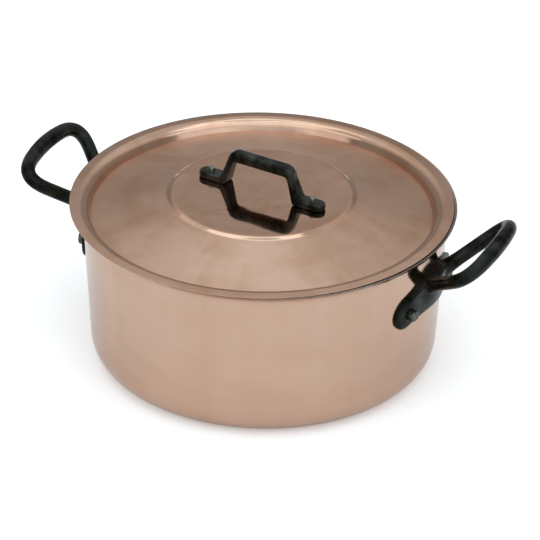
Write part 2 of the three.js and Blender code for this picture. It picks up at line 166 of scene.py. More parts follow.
class RivetSizes(bpy.types.PropertyGroup):
    """Sizes of the steel rivets, in the wall and in the lid"""
    side_head: length("Side head", 3.8, "Head radius on the side handles")
    side_rise: length("Side rise", 3.9, "Head height on the side handles")
    side_back: length("Side back head", 5.2, "Head radius inside the pot")
    side_dome: length("Side back dome", 1.5, "Head height inside the pot")
    side_shank: length("Side shank", 2.8, "Shank radius through the wall")
    side_inset: length("Side inset", 12.9, "Rivet from the end of its plate")
    side_drop: length("Side drop", 2, "Rivet below the middle of its plate")
    lid_head: length("Lid head", 2, "Head radius on the lid's handle")
    lid_rise: length("Lid rise", 3.1, "Head height on the lid's handle")
    lid_back: length("Lid back head", 3.4, "Head radius under the lid")
    lid_dome: length("Lid back dome", 1.1, "Head height under the lid")
    lid_shank: length("Lid shank", 1.5, "Shank radius through the lid")
    lid_inset: length("Lid inset", 9, "Rivet from the end of its foot")
    hammer_depth: length("Hammer depth", 0.5, "Depth of the hammer marks")
    hammer_mark: length("Hammer mark", 2.4, "Width of a hammer mark")


class CasseroleColours(bpy.types.PropertyGroup):
    """Colours of the finishes"""
    copper: colour("Copper", "#C9A690", "Freshly buffed copper")
    # Tarnish, which also carries painted fans of highlight and shade on the buffed copper.
    tarnish: colour("Tarnish", "#BC957C", "Copper where handling has browned it")
    lining: colour("Lining", "#BDB6AB", "Satin steel lining")
    # Lining stain, which also carries painted fans of highlight and shade.
    lining_stain_and_fan_shade: colour("Lining stain", "#97918A", "Lining where the buffing is coarser")
    iron: colour("Iron", "#080907", "Blackened cast iron")
    # Worn grey, which is also painted along convex edges as a highlight.
    iron_worn_and_edge_sheen: colour("Worn iron", "#2B2F27", "Iron where hands have rubbed it")
    rivet: colour("Rivet", "#8A8E80", "Bare rivet steel")
    rivet_stain: colour("Rivet stain", "#3C3E36", "Steel in the hollows of the hammer marks")
    # The side rivets' darker steel is painted shade: a darker copy of the rivet steel for the shade and dark
    # reflections that their plates give them.
    side_rivet: colour("Side rivet", "#666A5D", "Rivets that were blackened with the side handles")
    side_rivet_stain: colour("Side rivet stain", "#24261F", "Their hollows, where the black is thicker")
    floor: colour("Floor", "#EDEDED", "Paper that the pot stands on")


class CasseroleSettings(bpy.types.PropertyGroup):
    """All sizes and colours of the casserole"""
    pot: bpy.props.PointerProperty(type=PotSizes, name="Pot")
    lid: bpy.props.PointerProperty(type=LidSizes, name="Lid")
    side_handle: bpy.props.PointerProperty(type=SideHandleSizes, name="Side handles")
    lid_handle: bpy.props.PointerProperty(type=LidHandleSizes, name="Lid handle")
    rivet: bpy.props.PointerProperty(type=RivetSizes, name="Rivets")
    colours: bpy.props.PointerProperty(type=CasseroleColours, name="Colours")


# Nodes and meshes

def fill(tree, node, inputs):
    """Sets a node's inputs by name or number, or links them where the value is a socket."""
    for key, value in inputs.items():
        if isinstance(value, bpy.types.NodeSocket):
            tree.links.new(value, node.inputs[key])
        else:
            node.inputs[key].default_value = value


def put(tree, kind, inputs=None, **settings):
    """Adds a node with its settings and links."""
    node = tree.nodes.new(kind)
    for name, value in settings.items():
        setattr(node, name, value)
    fill(tree, node, inputs or {})
    return node


def new_tree(name, sockets):
    """An empty geometry tree with a mesh going in and out, and the named inputs."""
    tree = bpy.data.node_groups.new(name, "GeometryNodeTree")
    tree.interface.new_socket("Geometry", in_out="OUTPUT", socket_type="NodeSocketGeometry")
    tree.interface.new_socket("Geometry", in_out="INPUT", socket_type="NodeSocketGeometry")
    for label, kind in sockets.items():
        tree.interface.new_socket(label, in_out="INPUT", socket_type=kind)
    return tree, put(tree, "NodeGroupInput").outputs


def end_tree(tree, given, geometry):
    """Ends a geometry tree in real faces of the material that it was given."""
    real = put(tree, "GeometryNodeRealizeInstances", {0: geometry}).outputs[0]
    done = put(tree, "GeometryNodeSetMaterial", {"Geometry": real, "Material": given["Material"]}).outputs[0]
    put(tree, "NodeGroupOutput", {0: done})
    return tree


def placed(name, data):
    """A new object in the scene."""
    thing = bpy.data.objects.new(name, data)
    bpy.context.scene.collection.objects.link(thing)
    return thing


def result_mesh(carrier):
    """The plain mesh that an object's modifiers make. The object and its own mesh are used up."""
    source = carrier.data
    mesh = bpy.data.meshes.new_from_object(carrier.evaluated_get(bpy.context.evaluated_depsgraph_get()))
    carrier.modifiers.clear()
    bpy.data.objects.remove(carrier)
    bpy.data.meshes.remove(source)
    return mesh


def grown(tree, seed, values):
    """The plain mesh that a geometry tree makes of a seed mesh."""
    carrier = placed("seed", seed)
    modifier = carrier.modifiers.new("Shape", "NODES")
    modifier.node_group = tree
    for item in tree.interface.items_tree:
        if item.in_out == "INPUT" and item.name in values:
            modifier[item.identifier] = values[item.name]
    return result_mesh(carrier)


def cast_skin(mesh, material, voxel, rounds):
    """One smooth skin round overlapping solids, with the soft corners that a sand mould leaves."""
    carrier = placed("casting", mesh)
    remesh = carrier.modifiers.new("Skin", "REMESH")
    remesh.mode = "VOXEL"
    remesh.voxel_size = voxel
    smooth = carrier.modifiers.new("Soften", "SMOOTH")
    smooth.factor = 0.5
    smooth.iterations = rounds
    skin = result_mesh(carrier)
    skin.shade_smooth()
    skin.materials.clear()
    skin.materials.append(material)
    return skin


def finish_piece(name, mesh, body, nodes):
    """Puts a finished mesh in the scene, on its body, in the place of its plain solids."""
    if not mesh.polygons:
        raise RuntimeError(f"{name} has no faces")
    mesh.name = name
    piece = placed(name, mesh)
    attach(piece, body)
    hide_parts(*nodes)


def line_seed(points, edges=True):
    """A mesh of points, joined in order where edges is true."""
    mesh = bpy.data.meshes.new("line")
    pairs = [(i, i + 1) for i in range(len(points) - 1)] if edges else []
    mesh.from_pydata([tuple(p) for p in points], pairs, [])
    return mesh


def mesh_of(work, name):
    """The mesh of a bmesh, which it uses up."""
    mesh = bpy.data.meshes.new(name)
    work.to_mesh(mesh)
    work.free()
    return mesh


def loft_mesh(rings):
    """A closed mesh through rings of points, capped at both ends."""
    work = bmesh.new()
    made = [[work.verts.new(p) for p in ring] for ring in rings]
    for one, two in zip(made, made[1:]):
        for k in range(len(one)):
            n = (k + 1) % len(one)
            work.faces.new((one[k], one[n], two[n], two[k]))
    work.faces.new(list(reversed(made[0])))
    work.faces.new(made[-1])
    bmesh.ops.remove_doubles(work, verts=work.verts, dist=0.1 * SAME_POINT)
    bmesh.ops.recalc_face_normals(work, faces=work.faces)
    return mesh_of(work, "loft")


def joined(meshes):
    """One mesh of several, which it uses up."""
    work = bmesh.new()
    for mesh in meshes:
        work.from_mesh(mesh)
        bpy.data.meshes.remove(mesh)
    return mesh_of(work, "joined")


# Profiles: points (x, z) that run outwards from the axis

def rounded(corners):
    """A line through corners (x, z, radius), with every inner corner rounded."""
    points = [Vector(corners[0][:2])]
    for before, at, after in zip(corners, corners[1:], corners[2:]):
        here = Vector(at[:2])
        back = (Vector(before[:2]) - here).normalized()
        ahead = (Vector(after[:2]) - here).normalized()
        half = back.angle(ahead) / 2
        centre = here + (back + ahead).normalized() * at[2] / math.sin(half)
        spoke = here + back * at[2] / math.tan(half) - centre
        sweep = math.copysign(math.pi - 2 * half, -back.cross(ahead))
        steps = max(4, math.ceil(abs(sweep) / ARC_STEP))
        points += [centre + Matrix.Rotation(sweep * k / steps, 2) @ spoke for k in range(steps + 1)]
    points.append(Vector(corners[-1][:2]))
    return [p for p, q in zip(points, [None] + points) if q is None or (p - q).length > SAME_POINT]


def evened(points, longest=3 * MM, margin=0.35 * MM):
    """The same line with long stretches split, also close to their ends, so that shading stays true."""
    dense = [points[0]]
    for a, b in zip(points, points[1:]):
        span = (b - a).length
        if span > 4 * margin:
            count = math.ceil((span - 2 * margin) / longest)
            shares = [(margin + (span - 2 * margin) * k / count) / span for k in range(count + 1)]
            dense += [a.lerp(b, share) for share in shares]
        dense.append(b)
    return dense


def offset(points, distance):
    """The line moved to its left, with mitred corners."""
    moved = []
    for i, point in enumerate(points):
        arriving = (point - points[i - 1]).normalized() if i else None
        leaving = (points[i + 1] - point).normalized() if i + 1 < len(points) else None
        arriving = arriving or leaving
        leaving = leaving or arriving
        heading = (arriving + leaving).normalized()
        stretch = 1 / max(heading.dot(arriving), 0.5)
        moved.append(point + Vector((-heading.y, heading.x)) * distance * stretch)
    return moved


def sheet_section(profile, low, high, hem=0.0, tuck=0.0, thinned=0.0, reach=0.0):
    """Section of a sheet between two depths beside a profile, with softened edges at its rim.

    A hem makes the rim's edge deeper, so that it laps over what lies below, and a tuck slopes it inwards.
    The sheet gets thinner towards its rim by the thinned length, over the reach."""
    over = offset(profile, high)
    under = offset(profile, low)
    for i, point in enumerate(under):
        share = max(1 - (profile[-1] - profile[i]).length / reach, 0) if reach else 0
        under[i] = point + (over[i] - point).normalized() * thinned * share * (2 - share)
    for point in under[-2:]:
        point.y -= hem
        point.x -= tuck
    onward = (under[-1] - under[-2]).normalized()
    across = (over[-1] - under[-1]).normalized()
    soft = 0.2 * (over[-1] - under[-1]).length  # radius of the softened edges
    quarter = [math.radians(90 * k / 4) for k in range(5)]
    rim = [under[-1] + across * soft * (1 - math.cos(turn)) - onward * soft * (1 - math.sin(turn))
           for turn in quarter]
    rim += [over[-1] - across * soft * (1 - math.sin(turn)) - onward * soft * (1 - math.cos(turn))
            for turn in quarter]
    clear = -1.2 * soft  # points closer to the rim give way to its softened edges
    keep = [p for p in under[:-1] if (p - under[-1]).dot(onward) < clear or p.x < 0.5 * under[-1].x]
    back = [p for p in over[:-1] if (p - over[-1]).dot(onward) < clear or p.x < 0.5 * over[-1].x]
    section = keep + rim + list(reversed(back))
    section[0].x = section[-1].x = 0
    return section


class Shape:
    """Lengths that several pieces share, worked out from the settings."""

    def __init__(self, settings):
        pot, lid, handle = settings.pot, settings.lid, settings.side_handle
        self.draft = pot.draft
        self.pot_wall = pot.copper + BOND_GAP + pot.lining
        self.lid_wall = lid.copper + BOND_GAP + lid.lining
        end = math.pi - pot.draft - pot.lip_turn
        centre_z = pot.height - (pot.lip + self.pot_wall) * math.sin(max(end, math.pi / 2))
        centre_x = pot.rim + pot.lip * math.cos(pot.draft)
        self.rim = pot.rim
        self.wall_top = centre_z + pot.lip * math.sin(pot.draft)
        edge = Vector((centre_x + pot.lip * math.cos(end), centre_z + pot.lip * math.sin(end)))
        bend = pot.lip * math.tan(pot.lip_turn / 2)
        corner = (edge.x - bend * math.sin(end), edge.y + bend * math.cos(end), pot.lip)
        self.pot_line = evened(rounded([(0, 0), (self.wall(0), 0, pot.corner), corner, tuple(edge)]))

        self.lid_z = pot.height + SEAT_GAP + self.lid_wall
        foot_z = self.lid_z - lid.step_depth
        inside = self.wall(foot_z - self.lid_wall) - self.pot_wall / math.cos(pot.draft)
        foot_x = inside - lid.play - self.lid_wall
        self.lid_foot = foot_x
        dome_x = lid.disc + lid.disc_slope
        dome_z = lid.dome_rise - lid.step_depth
        self.disc_z = dome_z + lid.disc_step
        self.lid_line = evened(rounded([
            (0, self.disc_z),
            (lid.disc, self.disc_z, lid.disc_slope),
            (dome_x, dome_z, lid.disc_slope),
            (foot_x, -lid.step_depth, 0),
            (foot_x + lid.step_lean, 0, lid.step_fillet),
            (edge.x - lid.inset, -lid.droop),
        ]))
        self.lid_centre = Vector((
            lid.shift * math.cos(lid.shift_angle), lid.shift * math.sin(lid.shift_angle), 0))
        self.lid_place = Matrix.Translation(self.lid_centre + Vector((0, 0, self.lid_z)))
        self.lid_place @= Matrix.Rotation(lid.turn, 4, "Z")

        self.tilt = handle.tilt
        self.plate_z = pot.height - handle.drop
        self.plate_radius = self.wall(self.plate_z)

    def wall(self, z):
        """Outside radius of the wall at a height."""
        return self.rim - (self.wall_top - z) * math.tan(self.draft)

    def plate_level(self, turn):
        """Height of the plate's middle, which follows the loop's tilted plane round the wall."""
        return self.plate_z - math.tan(self.tilt) * self.plate_radius * (1 - math.cos(turn))


def eased(share):
    """A share of 0 to 1 that starts and ends gently."""
    return share * share * (3 - 2 * share)


def swell_share(along, stretch):
    """How far the plate has swollen: 1 at its middle, 0 at the ends of the stretch."""
    return (1 + math.cos(math.pi * min(abs(along) / (stretch / 2), 1))) / 2


def turned_tree():
    """Turns a profile once round the Z axis and closes it."""
    tree, given = new_tree("Turned sheet", {"Steps": "NodeSocketInt", "Material": "NodeSocketMaterial"})
    count = put(tree, "GeometryNodeAttributeDomainSize", {0: given["Geometry"]}).outputs["Point Count"]
    columns = put(tree, "FunctionNodeIntegerMath", {0: given["Steps"], 1: 1}, operation="ADD").outputs[0]
    grid = put(tree, "GeometryNodeMeshGrid", {"Vertices X": columns, "Vertices Y": count}).outputs["Mesh"]
    index = put(tree, "GeometryNodeInputIndex").outputs[0]
    row = put(tree, "FunctionNodeIntegerMath", {0: index, 1: count}, operation="MODULO").outputs[0]
    column = put(tree, "FunctionNodeIntegerMath", {0: index, 1: count}, operation="DIVIDE_FLOOR").outputs[0]
    place = put(tree, "GeometryNodeInputPosition").outputs[0]
    point = put(tree, "GeometryNodeSampleIndex", {
        "Geometry": given["Geometry"], "Value": place, "Index": row}, data_type="FLOAT_VECTOR").outputs[0]
    share = put(tree, "ShaderNodeMath", {0: column, 1: given["Steps"]}, operation="DIVIDE").outputs[0]
    turn = put(tree, "ShaderNodeMath", {0: share, 1: 2 * math.pi}, operation="MULTIPLY").outputs[0]
    swung = put(tree, "ShaderNodeVectorRotate", {
        "Vector": point, "Angle": turn}, rotation_type="Z_AXIS").outputs[0]
    set_out = put(tree, "GeometryNodeSetPosition", {"Geometry": grid, "Position": swung}).outputs[0]
    closed = put(tree, "GeometryNodeMergeByDistance", {
        "Geometry": set_out, "Distance": 2 * SAME_POINT}).outputs[0]
    smooth = put(tree, "GeometryNodeSetShadeSmooth", {"Geometry": closed}).outputs[0]
    return end_tree(tree, given, smooth)


def turned(section, steps, material):
    """A mesh turned from a section of (x, z) points."""
    tree = bpy.data.node_groups.get("Turned sheet") or turned_tree()
    seed = line_seed([(p.x, 0, p.y) for p in section])
    mesh = grown(tree, seed, {"Steps": steps, "Material": material})
    mesh.set_sharp_from_angle(angle=SHARP_FOLD)
    return mesh


def rod_tree():
    """A round rod along a path, as thick as the path's own attribute says."""
    tree, given = new_tree("Cast rod", {"Sides": "NodeSocketInt", "Material": "NodeSocketMaterial"})
    path = put(tree, "GeometryNodeMeshToCurve", {"Mesh": given["Geometry"]}).outputs[0]
    ring = put(tree, "GeometryNodeCurvePrimitiveCircle", {
        "Resolution": given["Sides"], "Radius": 1.0}).outputs[0]
    thick = put(tree, "GeometryNodeInputNamedAttribute", {"Name": "thickness"}, data_type="FLOAT").outputs[0]
    rod = put(tree, "GeometryNodeCurveToMesh", {
        "Curve": path, "Profile Curve": ring, "Scale": thick, "Fill Caps": True}).outputs[0]
    return end_tree(tree, given, rod)


def rivet_tree():
    """Sets one rivet on every point, along its direction, each turned by its own amount and hammered."""
    tree, given = new_tree("Set rivets", {
        "Rivet": "NodeSocketObject", "Hammer depth": "NodeSocketFloat", "Hammer mark": "NodeSocketFloat",
        "Seed": "NodeSocketInt", "Material": "NodeSocketMaterial"})
    rivet = put(tree, "GeometryNodeObjectInfo", {"Object": given["Rivet"]}).outputs["Geometry"]
    scale = put(tree, "ShaderNodeMath", {0: 1.0, 1: given["Hammer mark"]}, operation="DIVIDE").outputs[0]
    marks = put(tree, "ShaderNodeTexNoise", {"Scale": scale, "Detail": 1.0}).outputs["Fac"]
    dent = put(tree, "ShaderNodeMath", {0: marks, 1: -0.5}, operation="ADD").outputs[0]
    depth = put(tree, "ShaderNodeMath", {0: dent, 1: given["Hammer depth"]}, operation="MULTIPLY").outputs[0]
    normal = put(tree, "GeometryNodeInputNormal").outputs[0]
    move = put(tree, "ShaderNodeVectorMath", {0: normal, "Scale": depth}, operation="SCALE").outputs[0]
    beaten = put(tree, "GeometryNodeSetPosition", {"Geometry": rivet, "Offset": move}).outputs[0]
    along = put(tree, "GeometryNodeInputNamedAttribute", {
        "Name": "direction"}, data_type="FLOAT_VECTOR").outputs[0]
    aimed = put(tree, "FunctionNodeAlignRotationToVector", {"Vector": along}, axis="Z").outputs[0]
    twist = put(tree, "FunctionNodeRandomValue", {
        3: 2 * math.pi, "Seed": given["Seed"]}, data_type="FLOAT").outputs[1]
    spin = put(tree, "FunctionNodeAxisAngleToRotation", {"Axis": (0, 0, 1), "Angle": twist}).outputs[0]
    way = put(tree, "FunctionNodeRotateRotation", {0: aimed, 1: spin}, rotation_space="LOCAL").outputs[0]
    set_in = put(tree, "GeometryNodeInstanceOnPoints", {
        "Points": given["Geometry"], "Instance": beaten, "Rotation": way}).outputs[0]
    return end_tree(tree, given, set_in)


# Finishes

def bare_material(name):
    """A new material, with its tree and its shader."""
    material = bpy.data.materials.new(name)
    material.use_nodes = True
    return material, material.node_tree, material.node_tree.nodes["Principled BSDF"]


def turned_metal(name, clean, stained_and_fan_shade, centre, rough, spread, stain_and_fan_share, streak, wave, polished=()):
    """Sheet metal that was buffed while it turned on a lathe, so that its fine lines run round the axis.

    The lines blur what it mirrors across them, and the buffing leaves cloudy patches where it pressed less. Fans
    that run outwards are painted into the stained colour as light and shade, for the fan-shaped sheen of the
    buffing.
    Rough is the least roughness, and spread is what the lines and smears add to it. Stain and fan share is the
    most that stains and the painted fan shade cover, streak how far the lines draw out a reflection, and wave the
    depth of the sheet's waves.
    Each polished zone is a radius, and the shares of the roughness that are left inside and outside it."""
    material, tree, shader = bare_material(name)
    here = put(tree, "ShaderNodeTexCoord").outputs["Object"]
    centred = put(tree, "ShaderNodeMapping", {"Vector": here, "Location": -centre}).outputs[0]
    flat = put(tree, "ShaderNodeVectorMath", {0: centred, 1: (1, 1, 0)}, operation="MULTIPLY").outputs[0]
    radius = put(tree, "ShaderNodeVectorMath", {0: flat}, operation="LENGTH").outputs["Value"]
    parts = put(tree, "ShaderNodeSeparateXYZ", {0: centred}).outputs
    slow = put(tree, "ShaderNodeMath", {0: parts["X"], 1: 0.03}, operation="MULTIPLY").outputs[0]
    along = put(tree, "ShaderNodeCombineXYZ", {"X": radius, "Y": parts["Z"], "Z": slow}).outputs[0]
    # Buffing lines are about 0.1 mm apart, drawn at 1.5 mm so that they show.
    lines = put(tree, "ShaderNodeTexNoise", {
        "Vector": along, "Scale": 1 / (1.5 * MM), "Detail": 2.0}).outputs["Fac"]
    # Clouds of handling and uneven buffing, about 50 mm across.
    clouds = put(tree, "ShaderNodeTexNoise", {
        "Vector": here, "Scale": 1 / (50 * MM), "Detail": 4.0, "Roughness": 0.6, "Distortion": 0.6}).outputs["Fac"]
    # The buffing cloth leaves smears that run round, some 14 mm wide.
    bearing = put(tree, "ShaderNodeVectorMath", {0: flat}, operation="NORMALIZE").outputs[0]
    bands = put(tree, "ShaderNodeMath", {0: radius, 1: 1 / (14 * MM)}, operation="MULTIPLY").outputs[0]
    height = put(tree, "ShaderNodeMath", {
        0: parts["Z"], 1: 1 / (20 * MM), 2: bands}, operation="MULTIPLY_ADD").outputs[0]
    lift = put(tree, "ShaderNodeCombineXYZ", {"Z": height}).outputs[0]
    round_about = put(tree, "ShaderNodeVectorMath", {
        0: bearing, 1: (1.6, 1.6, 0), 2: lift}, operation="MULTIPLY_ADD").outputs[0]
    smears = put(tree, "ShaderNodeTexNoise", {
        "Vector": round_about, "Scale": 1.0, "Detail": 3.0}).outputs["Fac"]
    # Painted fans of light and shade run outwards and fade towards the middle, for the sheen that buffing by hand
    # leaves.
    outwards = put(tree, "ShaderNodeMath", {0: radius, 1: 1 / (70 * MM)}, operation="MULTIPLY").outputs[0]
    rise = put(tree, "ShaderNodeCombineXYZ", {"Z": outwards}).outputs[0]
    fanned = put(tree, "ShaderNodeVectorMath", {
        0: bearing, 1: (3, 3, 0), 2: rise}, operation="MULTIPLY_ADD").outputs[0]
    fan_sheen = put(tree, "ShaderNodeTexNoise", {
        "Vector": fanned, "Scale": 1.0, "Detail": 3.0, "Distortion": 0.8}).outputs["Fac"]
    fade = put(tree, "ShaderNodeMapRange", {
        "Value": radius, "From Min": 40 * MM, "From Max": 80 * MM, "To Max": 1.7}).outputs[0]
    about = put(tree, "ShaderNodeMath", {0: fan_sheen, 1: -0.5}, operation="ADD").outputs[0]
    # The sheet is never quite true: waves of some 40 mm bend what it mirrors.
    waves = put(tree, "ShaderNodeTexNoise", {
        "Vector": here, "Scale": 1 / (40 * MM), "Detail": 1.5, "Distortion": 1.0}).outputs["Fac"]
    uneven = put(tree, "ShaderNodeMath", {0: clouds, 1: smears}, operation="ADD").outputs[0]
    # The painted fan light and shade join the real clouds and smears in the stain share.
    browned_and_fan_sheen = put(tree, "ShaderNodeMath", {0: about, 1: fade, 2: uneven}, operation="MULTIPLY_ADD").outputs[0]
    share = put(tree, "ShaderNodeMapRange", {
        "Value": browned_and_fan_sheen, "From Min": 0.75, "From Max": 1.3, "To Max": stain_and_fan_share}).outputs[0]
    mixed = put(tree, "ShaderNodeMixRGB", {
        "Fac": share, "Color1": (*clean, 1), "Color2": (*stained_and_fan_shade, 1)}).outputs[0]
    grain = put(tree, "ShaderNodeMath", {0: lines, 1: 0.6}, operation="MULTIPLY").outputs[0]
    haze = put(tree, "ShaderNodeMath", {0: smears, 1: 0.6, 2: grain}, operation="MULTIPLY_ADD").outputs[0]
    matt = put(tree, "ShaderNodeMapRange", {
        "Value": haze, "From Min": 0.3, "From Max": 0.9, "To Min": rough, "To Max": rough + spread}).outputs[0]
    for border, inside, outside in polished:
        zone = put(tree, "ShaderNodeMapRange", {
            "Value": radius, "From Min": border - MM, "From Max": border + MM,
            "To Min": inside, "To Max": outside}).outputs[0]
        matt = put(tree, "ShaderNodeMath", {0: matt, 1: zone}, operation="MULTIPLY").outputs[0]
    ripple = put(tree, "ShaderNodeBump", {"Height": waves, "Strength": 1.0, "Distance": wave}).outputs[0]
    ridge = put(tree, "ShaderNodeBump", {
        "Height": lines, "Strength": 1.0, "Distance": 0.004 * MM, "Normal": ripple}).outputs[0]
    tangent = put(tree, "ShaderNodeTangent", direction_type="RADIAL", axis="Z").outputs[0]
    fill(tree, shader, {
        "Base Color": mixed, "Metallic": 1.0, "Roughness": matt, "Normal": ridge, "Tangent": tangent,
        "Anisotropic": streak, "Anisotropic Rotation": 0.25})
    return material


def blackened_iron(colours, name, dull, bright, skin):
    """Cast iron from a sand mould, blackened with oil: a dull, faintly green black with a fine grain.

    Hands and cloths rub patches to a greyer shine, and the same grey on convex edges is partly real rubbing and
    partly a painted highlight along them. The oil shines from the dull to the bright level, and the skin is as
    rough as its share says."""
    material, tree, shader = bare_material(name)
    # The mean level, for an export that drops the link to this socket.
    shader.inputs["Specular IOR Level"].default_value = (dull + bright) / 2
    here = put(tree, "ShaderNodeTexCoord").outputs["Object"]
    # Moulding sand is about 0.3 mm, drawn at 0.9 mm so that it shows.
    sand = put(tree, "ShaderNodeTexNoise", {
        "Vector": here, "Scale": 1 / (0.9 * MM), "Detail": 3.0, "Roughness": 0.6}).outputs["Fac"]
    lumps = put(tree, "ShaderNodeTexNoise", {
        "Vector": here, "Scale": 1 / (6 * MM), "Detail": 2.0}).outputs["Fac"]
    wear = put(tree, "ShaderNodeTexNoise", {
        "Vector": here, "Scale": 1 / (14 * MM), "Detail": 4.0}).outputs["Fac"]
    # Convex edges get the worn grey: partly real rubbing, partly a painted highlight along the rounded edges.
    point = put(tree, "ShaderNodeNewGeometry").outputs["Pointiness"]
    edges = put(tree, "ShaderNodeMapRange", {"Value": point, "From Min": 0.5, "From Max": 0.6}).outputs[0]
    rubbed_and_edge_sheen = put(tree, "ShaderNodeMath", {0: edges, 1: 0.5, 2: wear}, operation="MULTIPLY_ADD").outputs[0]
    share = put(tree, "ShaderNodeMapRange", {"Value": rubbed_and_edge_sheen, "From Min": 0.45, "From Max": 1.0}).outputs[0]
    mixed = put(tree, "ShaderNodeMixRGB", {
        "Fac": share, "Color1": (*colours.iron, 1), "Color2": (*colours.iron_worn_and_edge_sheen, 1)}).outputs[0]
    # The oil dried unevenly, in patches of some 14 mm that shine more or less.
    shine = put(tree, "ShaderNodeMapRange", {
        "Value": wear, "From Min": 0.35, "From Max": 0.65, "To Min": dull, "To Max": bright}).outputs[0]
    matt = put(tree, "ShaderNodeMapRange", {"Value": sand, "To Min": 0.16, "To Max": 0.34}).outputs[0]
    soft = put(tree, "ShaderNodeBump", {
        "Height": lumps, "Strength": 1.0, "Distance": 0.25 * MM * skin}).outputs[0]
    grain = put(tree, "ShaderNodeBump", {
        "Height": sand, "Strength": 0.8, "Distance": 0.12 * MM * skin, "Normal": soft}).outputs[0]
    fill(tree, shader, {
        "Base Color": mixed, "Metallic": 0.0, "Roughness": matt, "Normal": grain,
        "Specular IOR Level": shine, "Specular Tint": (1, 0.96, 0.84, 1)})
    return material


def hammered_steel(name, struck, hollow):
    """Rivet steel, closed with a hammer: brighter where it was struck, darker in between."""
    material, tree, shader = bare_material(name)
    here = put(tree, "ShaderNodeTexCoord").outputs["Object"]
    marks = put(tree, "ShaderNodeTexNoise", {
        "Vector": here, "Scale": 1 / (1.6 * MM), "Detail": 3.0}).outputs["Fac"]
    share = put(tree, "ShaderNodeMapRange", {"Value": marks, "From Min": 0.4, "From Max": 0.7}).outputs[0]
    mixed = put(tree, "ShaderNodeMixRGB", {
        "Fac": share, "Color1": (*struck, 1), "Color2": (*hollow, 1)}).outputs[0]
    matt = put(tree, "ShaderNodeMapRange", {"Value": marks, "To Min": 0.28, "To Max": 0.55}).outputs[0]
    dents = put(tree, "ShaderNodeBump", {"Height": marks, "Strength": 0.6, "Distance": 0.15 * MM}).outputs[0]
    fill(tree, shader, {"Base Color": mixed, "Metallic": 1.0, "Roughness": matt, "Normal": dents})
    return material


def white_paper(colours):
    """Matt white background paper, with a faint tooth. It glows a little to the eye and to the metal."""
    eye_glow, mirror_glow = 0.3, 0.08
    material, tree, shader = bare_material("white_background_paper")
    here = put(tree, "ShaderNodeTexCoord").outputs["Object"]
    tooth = put(tree, "ShaderNodeTexNoise", {
        "Vector": here, "Scale": 1 / (2 * MM), "Detail": 2.0}).outputs["Fac"]
    shade = tuple(0.985 * c for c in colours.floor)
    mixed = put(tree, "ShaderNodeMixRGB", {
        "Fac": tooth, "Color1": (*colours.floor, 1), "Color2": (*shade, 1)}).outputs[0]
    ray = put(tree, "ShaderNodeLightPath").outputs
    mirrored = put(tree, "ShaderNodeMath", {
        0: ray["Is Glossy Ray"], 1: mirror_glow}, operation="MULTIPLY").outputs[0]
    seen = put(tree, "ShaderNodeMath", {
        0: ray["Is Camera Ray"], 1: ray["Is Transmission Ray"]}, operation="MAXIMUM").outputs[0]
    glow = put(tree, "ShaderNodeMath", {
        0: seen, 1: eye_glow, 2: mirrored}, operation="MULTIPLY_ADD").outputs[0]
    fill(tree, shader, {
        "Base Color": mixed, "Roughness": 0.9, "Specular IOR Level": 0.1,
        "Emission Color": (1, 0.95, 0.9, 1), "Emission Strength": glow})
    return material


def pot_copper(settings):
    """The pot's wall is buffed to a soft mirror."""
    colours = settings.colours
    return turned_metal(
        "polished_copper_pot", colours.copper, colours.tarnish, Vector((0, 0, 0)),
        rough=0.08, spread=0.10, stain_and_fan_share=0.35, streak=0.3, wave=0.04 * MM)


def lid_copper(settings):
    """The lid's dome is hazy and browned by handling, with painted fans of light and shade in the browning, a
    clear mirror on the disc and a brighter flange.
    """
    colours, shape = settings.colours, Shape(settings)
    disc = settings.lid.disc + settings.lid.disc_slope
    groove = shape.lid_foot - 0.8 * MM  # the clearer outer part starts just inside the groove
    return turned_metal(
        "polished_copper_lid", colours.copper, colours.tarnish, shape.lid_centre,
        rough=0.3, spread=0.16, stain_and_fan_share=1.0, streak=0.6, wave=0.3 * MM,
        polished=((disc, 0.16, 1.0), (groove, 1.0, 0.4)))


def satin_lining(settings, name, centre):
    """The steel inside is only brushed, so it mirrors light and no shapes."""
    colours = settings.colours
    return turned_metal(
        name, colours.lining, colours.lining_stain_and_fan_shade, centre,
        rough=0.42, spread=0.15, stain_and_fan_share=0.6, streak=0.5, wave=0.03 * MM)


# Pieces

def bar_ring(from_end, half_width, thickness, top, bottom):
    """Section (side, height) of a bar with rounded edges, at a distance from an end that is round in plan."""
    levels = []
    for k in range(6):
        turn = math.radians(18 * k)
        levels.append((bottom * (1 - math.sin(turn)), bottom * (1 - math.cos(turn)), bottom, 0.0))
    for k in range(9):
        turn = math.radians(90 * k / 8)
        levels.append((top * (1 - math.cos(turn)), thickness - top * (1 - math.sin(turn)), top, thickness))
    right = []
    for inset, height, edge, face in levels:
        side = half_width - inset
        if from_end < half_width:
            room = side ** 2 - (half_width - from_end) ** 2
            side = math.sqrt(max(room, 0.0))
            if room < 0:
                drop = edge - math.sqrt(max(edge ** 2 - (edge - from_end) ** 2, 0.0))
                height = face - drop if face else drop
        right.append((side, height))
    return right + [(-side, height) for side, height in reversed(right)]


def round_end(half_width):
    """Distances over a bar's round end, closer together towards its tip."""
    return [half_width * (1 - math.cos(math.radians(90 * k / 14))) for k in range(14)]


